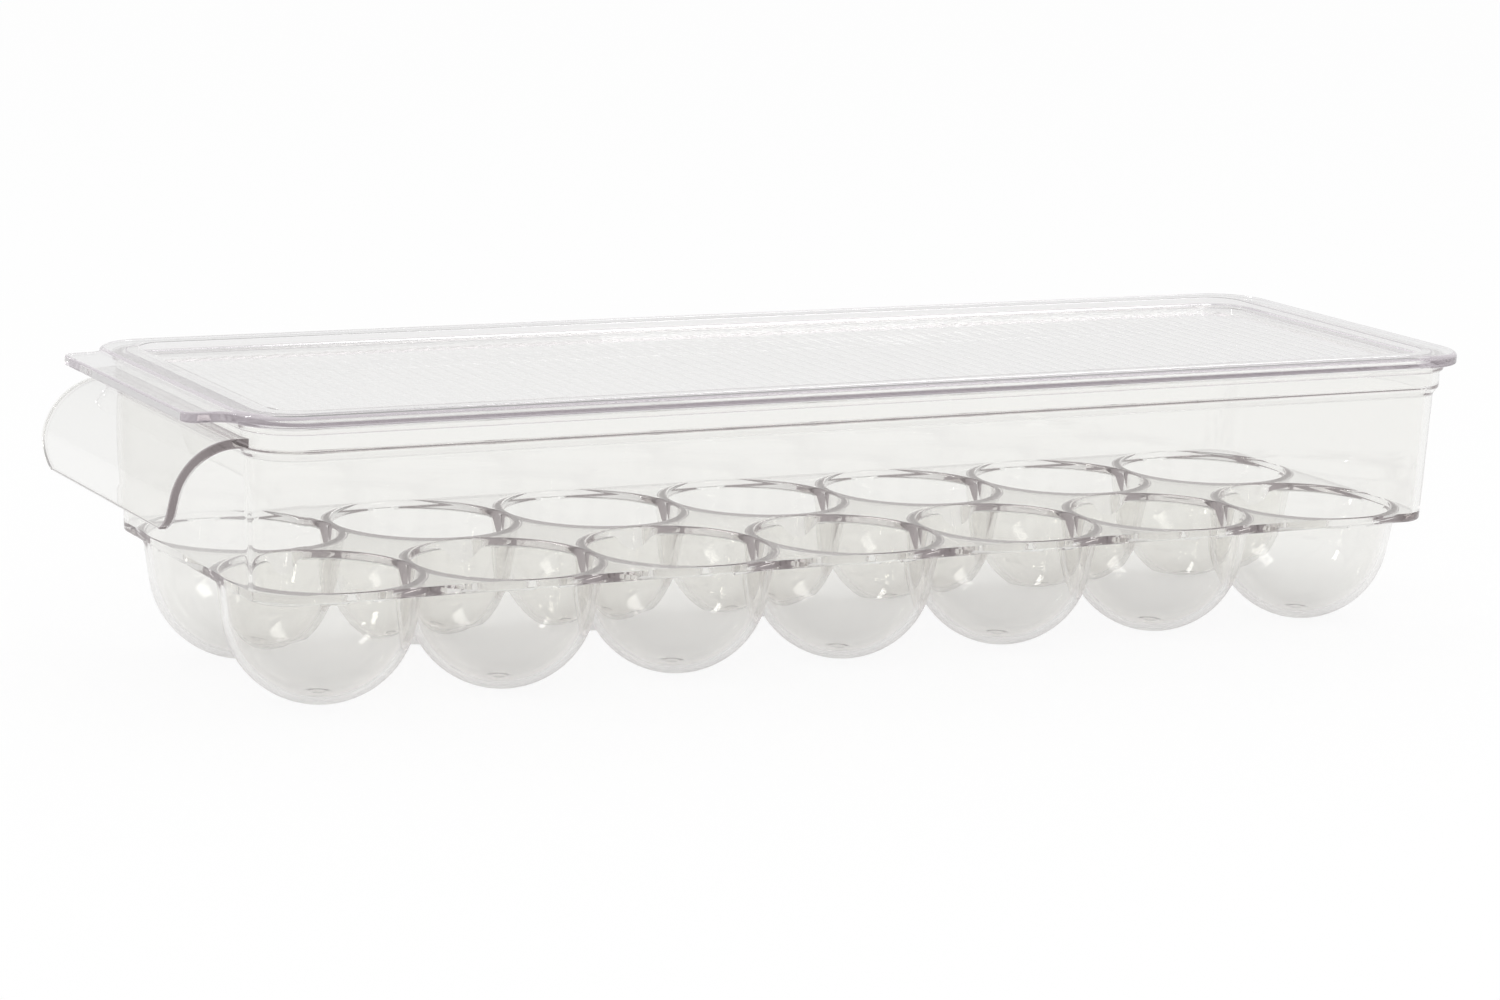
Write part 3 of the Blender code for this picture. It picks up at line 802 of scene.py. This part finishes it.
# %% [markdown]
# ## Clear plastic
#
# Clear plastic is a Principled shader with full transmission. Four things keep it
# from looking like a perfect computer glass. The surface is very slightly wavy and
# hazy. The plastic soaks up light along the way, which is why edges seen end-on
# look dark. The lamps' light falls straight through with a small loss, so that the
# shadow is pale and not black. And light that keeps being mirrored inside the
# sheet, which a renderer gives up on and shows as black specks, comes out as an
# even pale glow.

# %% A node group for moulded surfaces
SURFACE = {"Wave Size": 40.0, "Wave Height": 0.015, "Haze": 0.008}
WAVE_DEPTH = 0.5 * MM


def moulded_surface_group():
    """A slight waviness, and a slight haze that comes and goes with it."""
    group = bpy.data.node_groups.new("moulded_surface", "ShaderNodeTree")
    for name, value in SURFACE.items():
        socket = group.interface.new_socket(name, in_out="INPUT", socket_type="NodeSocketFloat")
        socket.default_value = value
    group.interface.new_socket("Roughness", in_out="OUTPUT", socket_type="NodeSocketFloat")
    group.interface.new_socket("Normal", in_out="OUTPUT", socket_type="NodeSocketVector")
    nodes, links = group.nodes, group.links
    given = nodes.new("NodeGroupInput")
    out = nodes.new("NodeGroupOutput")
    place = nodes.new("ShaderNodeTexCoord")
    wave = nodes.new("ShaderNodeTexNoise")
    wave.inputs["Detail"].default_value = 1.0
    bump = nodes.new("ShaderNodeBump")
    bump.inputs["Distance"].default_value = WAVE_DEPTH
    haze = nodes.new("ShaderNodeMath")
    haze.operation = "MULTIPLY"
    links.new(place.outputs["Object"], wave.inputs["Vector"])
    links.new(given.outputs["Wave Size"], wave.inputs["Scale"])
    links.new(given.outputs["Wave Height"], bump.inputs["Strength"])
    links.new(wave.outputs["Fac"], bump.inputs["Height"])
    links.new(wave.outputs["Fac"], haze.inputs[0])
    links.new(given.outputs["Haze"], haze.inputs[1])
    links.new(haze.outputs[0], out.inputs["Roughness"])
    links.new(bump.outputs["Normal"], out.inputs["Normal"])
    return group


MOULDED = moulded_surface_group()
group_outputs = [s.name for s in MOULDED.interface.items_tree if s.in_out == "OUTPUT"]
print("group", MOULDED.name, "gives", group_outputs)

# %% Where light is trapped
MIRRORINGS_TRAPPED = 4
TURNS_TRAPPED = 12


def trapped_mask(nodes, links, path):
    """1 for a ray that has been mirrored, or turned in any way, too many times."""
    either = nodes.new("ShaderNodeMath")
    either.operation = "MAXIMUM"
    limits = (("Glossy Depth", MIRRORINGS_TRAPPED), ("Ray Depth", TURNS_TRAPPED))
    for i, (depth, trapped) in enumerate(limits):
        test = nodes.new("ShaderNodeMath")
        test.operation = "GREATER_THAN"
        test.inputs[1].default_value = trapped - 0.5
        links.new(path.outputs[depth], test.inputs[0])
        links.new(test.outputs[0], either.inputs[i])
    return either.outputs[0]


print("trapped after", MIRRORINGS_TRAPPED, "mirrorings or", TURNS_TRAPPED, "turns")

# %% The two clear plastics
LAMP_LIGHT = (0.93, 0.92, 0.92)
PLASTIC_IOR = 1.5
SOAK_DENSITY = 14.0
GLOW_UNIT = 0.001


def clear_plastic(name, tint, trapped_light, soak_colour):
    """Plastic with a tint, the light it gives to trapped rays, and the colour of its depths."""
    material = bpy.data.materials.new(name)
    material.use_nodes = True
    nodes, links = material.node_tree.nodes, material.node_tree.links
    shader = nodes["Principled BSDF"]
    output = nodes["Material Output"]
    shader.inputs["Base Color"].default_value = (*tint, 1.0)
    shader.inputs["Transmission Weight"].default_value = 1.0
    shader.inputs["IOR"].default_value = PLASTIC_IOR
    surface = nodes.new("ShaderNodeGroup")
    surface.node_tree = MOULDED
    links.new(surface.outputs["Roughness"], shader.inputs["Roughness"])
    links.new(surface.outputs["Normal"], shader.inputs["Normal"])
    path = nodes.new("ShaderNodeLightPath")
    # The colour is in thousandths and the mask in thousands, so that a program that
    # can't read the mask, and takes it as 1, shows plastic that doesn't glow.
    strength = nodes.new("ShaderNodeMath")
    strength.operation = "DIVIDE"
    strength.inputs[1].default_value = GLOW_UNIT
    links.new(trapped_mask(nodes, links, path), strength.inputs[0])
    shader.inputs["Emission Color"].default_value = (*[part * GLOW_UNIT for part in trapped_light], 1.0)
    links.new(strength.outputs[0], shader.inputs["Emission Strength"])
    material.cycles.emission_sampling = "NONE"
    for_lamps = nodes.new("ShaderNodeBsdfTransparent")
    for_lamps.inputs["Color"].default_value = (*LAMP_LIGHT, 1.0)
    mix = nodes.new("ShaderNodeMixShader")
    links.new(path.outputs["Is Shadow Ray"], mix.inputs["Fac"])
    links.new(shader.outputs["BSDF"], mix.inputs[1])
    links.new(for_lamps.outputs["BSDF"], mix.inputs[2])
    links.new(mix.outputs["Shader"], output.inputs["Surface"])
    soak = nodes.new("ShaderNodeVolumeAbsorption")
    soak.inputs["Color"].default_value = (*soak_colour, 1.0)
    soak.inputs["Density"].default_value = SOAK_DENSITY
    links.new(soak.outputs["Volume"], output.inputs["Volume"])
    return material


# The trapped light is a painted glow. It is dark grey in the tray, where it sets the painted shade of the
# posts and edges, and paler grey in the lid.
tray_plastic = clear_plastic("clear_tray_plastic", tint=(0.970, 0.969, 0.955),
                             trapped_light=(0.20, 0.18, 0.185), soak_colour=(0.25, 0.20, 0.19))
lid_plastic = clear_plastic("clear_lid_plastic", tint=(0.988, 0.988, 0.984),
                            trapped_light=(0.46, 0.44, 0.46), soak_colour=(0.25, 0.20, 0.225))
for piece, plastic, slot_name in ((tray, tray_plastic, "tray_plastic"), (lid, lid_plastic, "lid_plastic")):
    piece.data.materials.clear()
    piece.data.materials.append(plastic)
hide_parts("tray")
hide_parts("lid")
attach(tray, "tray")
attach(lid, "lid")
print("materials:", tray_plastic.name, "and", lid_plastic.name)

# %% [markdown]
# ## Floor, light and camera
#
# Clear plastic has no colour of its own: it shows the room. So the room matters as
# much as the object. Near the horizon it is white, as a paper backdrop is, and it
# gets darker overhead. The dark part is what draws the outlines of the cups, and in
# mirrored rays the whole room is a little weaker. A broad soft lamp on the right and
# a tall narrow one on the left give the long pale highlights. The floor is painted
# nearly white for the camera, and light that has come through the plastic sees more
# of its real shade, with the tray's shadow on it.

# %% A share of white for each kind of ray
def ray_mask(nodes, links, shares):
    """How white a surface is painted: the largest of the shares whose kind of ray it is."""
    path = nodes.new("ShaderNodeLightPath")
    total = None
    for kind, share in shares.items():
        part = nodes.new("ShaderNodeMath")
        part.operation = "MULTIPLY"
        part.inputs[1].default_value = share
        links.new(path.outputs[kind], part.inputs[0])
        if total is None:
            total = part.outputs[0]
            continue
        larger = nodes.new("ShaderNodeMath")
        larger.operation = "MAXIMUM"
        links.new(total, larger.inputs[0])
        links.new(part.outputs[0], larger.inputs[1])
        total = larger.outputs[0]
    return total


# %% The floor
# It lies a hair below the cups' feet, so that no two faces share a place.
STAGE_HALF_WIDTH = 6.0
STAGE_GAP = 0.05 * MM
STAGE_SHADE = (0.88, 0.88, 0.88)
STAGE_WHITE = {"Is Camera Ray": 0.9, "Is Transmission Ray": 0.52, "Is Glossy Ray": 0.35}


def make_floor():
    """A wide matt floor, partly painted white for some kinds of ray."""
    bm = bmesh.new()
    bmesh.ops.create_grid(bm, x_segments=8, y_segments=8, size=STAGE_HALF_WIDTH)
    mesh = bpy.data.meshes.new("floor")
    bm.to_mesh(mesh)
    bm.free()
    floor = bpy.data.objects.new("floor", mesh)
    floor.location.z = -STAGE_GAP
    bpy.context.scene.collection.objects.link(floor)
    material = bpy.data.materials.new("white_floor")
    material.use_nodes = True
    nodes, links = material.node_tree.nodes, material.node_tree.links
    shader = nodes["Principled BSDF"]
    shader.inputs["Base Color"].default_value = (*STAGE_SHADE, 1.0)
    shader.inputs["Roughness"].default_value = 1.0
    shader.inputs["Specular IOR Level"].default_value = 0.0
    white = nodes.new("ShaderNodeEmission")
    mix = nodes.new("ShaderNodeMixShader")
    links.new(ray_mask(nodes, links, STAGE_WHITE), mix.inputs["Fac"])
    links.new(shader.outputs["BSDF"], mix.inputs[1])
    links.new(white.outputs["Emission"], mix.inputs[2])
    links.new(mix.outputs["Shader"], nodes["Material Output"].inputs["Surface"])
    mesh.materials.append(material)
    return floor


floor = make_floor()
print("floor is", round(floor.dimensions.x, 1), "m wide")

# %% The room
ROOM_OVERHEAD = 0.40
ROOM_MIRRORED = 0.84
ROOM_WHITE_UP_TO = 0.35
ROOM_DARK_FROM = 0.85
ROOM_WHITE = {"Is Camera Ray": 1.0, "Is Diffuse Ray": 0.95}


def make_room():
    """A white room that darkens overhead, and is plain white for the camera."""
    world = bpy.data.worlds.new("paper_room")
    world.use_nodes = True
    nodes, links = world.node_tree.nodes, world.node_tree.links
    background = nodes["Background"]
    direction = nodes.new("ShaderNodeTexCoord")
    split = nodes.new("ShaderNodeSeparateXYZ")
    shade = nodes.new("ShaderNodeMapRange")
    shade.interpolation_type = "SMOOTHSTEP"
    shade.inputs["From Min"].default_value = ROOM_WHITE_UP_TO
    shade.inputs["From Max"].default_value = ROOM_DARK_FROM
    shade.inputs["To Min"].default_value = 1.0
    shade.inputs["To Max"].default_value = ROOM_OVERHEAD
    larger = nodes.new("ShaderNodeMath")
    larger.operation = "MAXIMUM"
    path = nodes.new("ShaderNodeLightPath")
    mirrored = nodes.new("ShaderNodeMath")
    mirrored.operation = "MULTIPLY_ADD"
    mirrored.inputs[1].default_value = ROOM_MIRRORED - 1.0
    mirrored.inputs[2].default_value = 1.0
    weaker = nodes.new("ShaderNodeMath")
    weaker.operation = "MULTIPLY"
    links.new(path.outputs["Is Glossy Ray"], mirrored.inputs[0])
    links.new(mirrored.outputs[0], weaker.inputs[0])
    links.new(direction.outputs["Generated"], split.inputs["Vector"])
    links.new(split.outputs["Z"], shade.inputs["Value"])
    links.new(shade.outputs["Result"], weaker.inputs[1])
    links.new(weaker.outputs[0], larger.inputs[0])
    links.new(ray_mask(nodes, links, ROOM_WHITE), larger.inputs[1])
    background.inputs["Color"].default_value = (1.0, 1.0, 1.0, 1.0)
    links.new(larger.outputs[0], background.inputs["Strength"])
    bpy.context.scene.world = world


make_room()
print("room:", bpy.context.scene.world.name)


# %% Two soft lamps
def soft_lamp(name, azimuth, elevation, distance, width, height, watts, colour):
    """A rectangular lamp that looks at the tray from a direction given in degrees."""
    a, e = math.radians(azimuth), math.radians(elevation)
    towards = Vector((math.sin(a) * math.cos(e), -math.cos(a) * math.cos(e), math.sin(e)))
    data = bpy.data.lights.new(name, "AREA")
    data.shape = "RECTANGLE"
    data.size, data.size_y = width, height
    data.energy = watts
    data.color = colour
    lamp = bpy.data.objects.new(name, data)
    lamp.location = Vector((GRID_X, 0.0, FLOOR_TOP)) + towards * distance
    lamp.rotation_euler = towards.to_track_quat("Z", "Y").to_euler()
    lamp.visible_camera = False
    bpy.context.scene.collection.objects.link(lamp)
    return lamp


right_lamp = soft_lamp("right_softbox", 38.0, 32.0, 1.3, 0.45, 0.7, 3.4, (1.0, 1.0, 0.99))
left_lamp = soft_lamp("left_softbox", -100.0, 22.0, 1.4, 0.10, 0.85, 3.2, (1.0, 0.995, 0.98))
print("lamps:", right_lamp.name, "and", left_lamp.name)

# %% Camera at the photograph's view
# The camera was fitted to the photograph with the cups 50 units apart.
UNIT = COLUMN_PITCH / 50
VIEW_AZIMUTH = math.radians(-29.3274)
VIEW_ELEVATION = math.radians(11.4083)
VIEW_ROLL = math.radians(2.5052)
VIEW_DISTANCE = 1142.76 * UNIT
VIEW_RIGHT = -9.17 * UNIT
VIEW_UP = 3.58 * UNIT
FOCAL_PIXELS = 4222.21
MIDDLE_PIXEL = (762.90, 500.75)
PHOTO_SIZE = (1500, 1000)
SENSOR_WIDTH = 36.0
FARTHEST_SEEN = 50.0

back = Vector((math.sin(VIEW_AZIMUTH) * math.cos(VIEW_ELEVATION),
               -math.cos(VIEW_AZIMUTH) * math.cos(VIEW_ELEVATION), math.sin(VIEW_ELEVATION)))
level = Vector((math.cos(VIEW_AZIMUTH), math.sin(VIEW_AZIMUTH), 0.0))
upright = back.cross(level)
right = level * math.cos(VIEW_ROLL) + upright * math.sin(VIEW_ROLL)
up = upright * math.cos(VIEW_ROLL) - level * math.sin(VIEW_ROLL)
aim = Vector((GRID_X, 0.0, FLOOR_TOP))
camera_data = bpy.data.cameras.new("photo_camera")
camera = bpy.data.objects.new("photo_camera", camera_data)
bpy.context.scene.collection.objects.link(camera)
place = aim + back * VIEW_DISTANCE + right * VIEW_RIGHT + up * VIEW_UP
camera.matrix_world = Matrix.Translation(place) @ Matrix((right, up, back)).transposed().to_4x4()
camera_data.sensor_width = SENSOR_WIDTH
camera_data.lens = FOCAL_PIXELS / PHOTO_SIZE[0] * SENSOR_WIDTH
camera_data.shift_x = (PHOTO_SIZE[0] / 2 - MIDDLE_PIXEL[0]) / PHOTO_SIZE[0]
camera_data.shift_y = (MIDDLE_PIXEL[1] - PHOTO_SIZE[1] / 2) / PHOTO_SIZE[0]
camera_data.clip_end = FARTHEST_SEEN
bpy.context.scene.camera = camera
bpy.context.scene.view_settings.view_transform = "Standard"
print("camera at", [round(v, 3) for v in place], "with a", round(camera_data.lens, 1), "mm lens")
